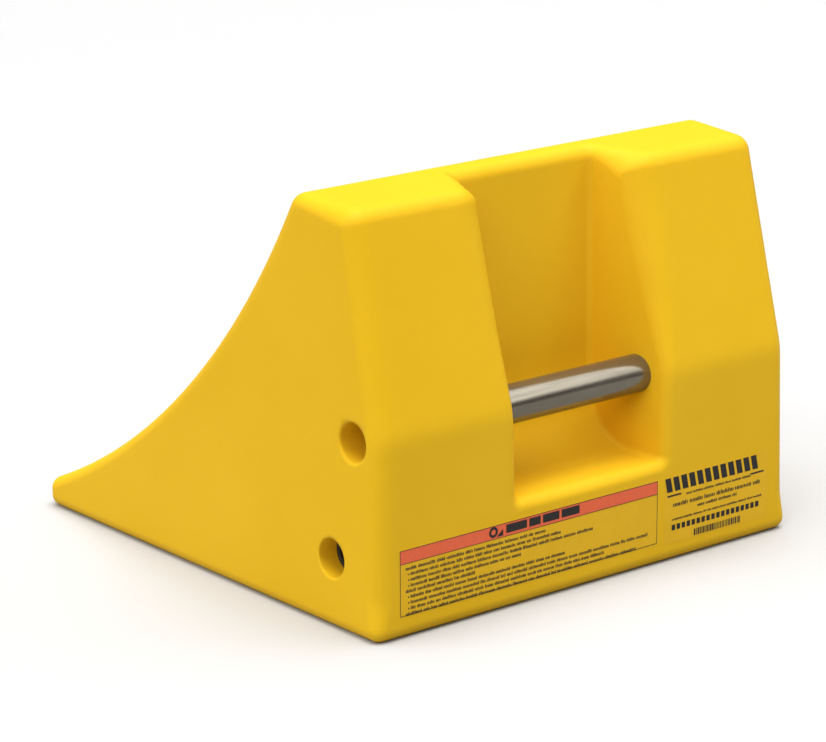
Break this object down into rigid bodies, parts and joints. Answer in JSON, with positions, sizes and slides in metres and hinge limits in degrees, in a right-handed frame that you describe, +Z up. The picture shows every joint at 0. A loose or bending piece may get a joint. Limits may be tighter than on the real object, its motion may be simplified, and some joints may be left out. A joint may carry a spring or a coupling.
{
  "type": "wheel chock",
  "caption": "Solid cast urethane wheel chock: ribbed hollow face for the tyre, open hand pocket with a steel carrying bar, steel-lined cross bore.",
  "frame": {"origin": "centre of the base on the ground", "axes": "+Z up, +Y from the toe to the rear face, +X across the chock along the handle bar"},
  "size_m": [0.3716, 0.381, 0.2817],
  "materials": {
    "urethane": "satin",
    "bar_steel": "brushed",
    "tube_steel": "matte",
    "label_film": "matte"
  },
  "bodies": {
    "root": {"chock_body": "urethane", "handle_bar": "bar_steel", "cross_tube": "tube_steel", "rating_label": "label_film", "id_label": "label_film"}
  },
  "joints": []
}
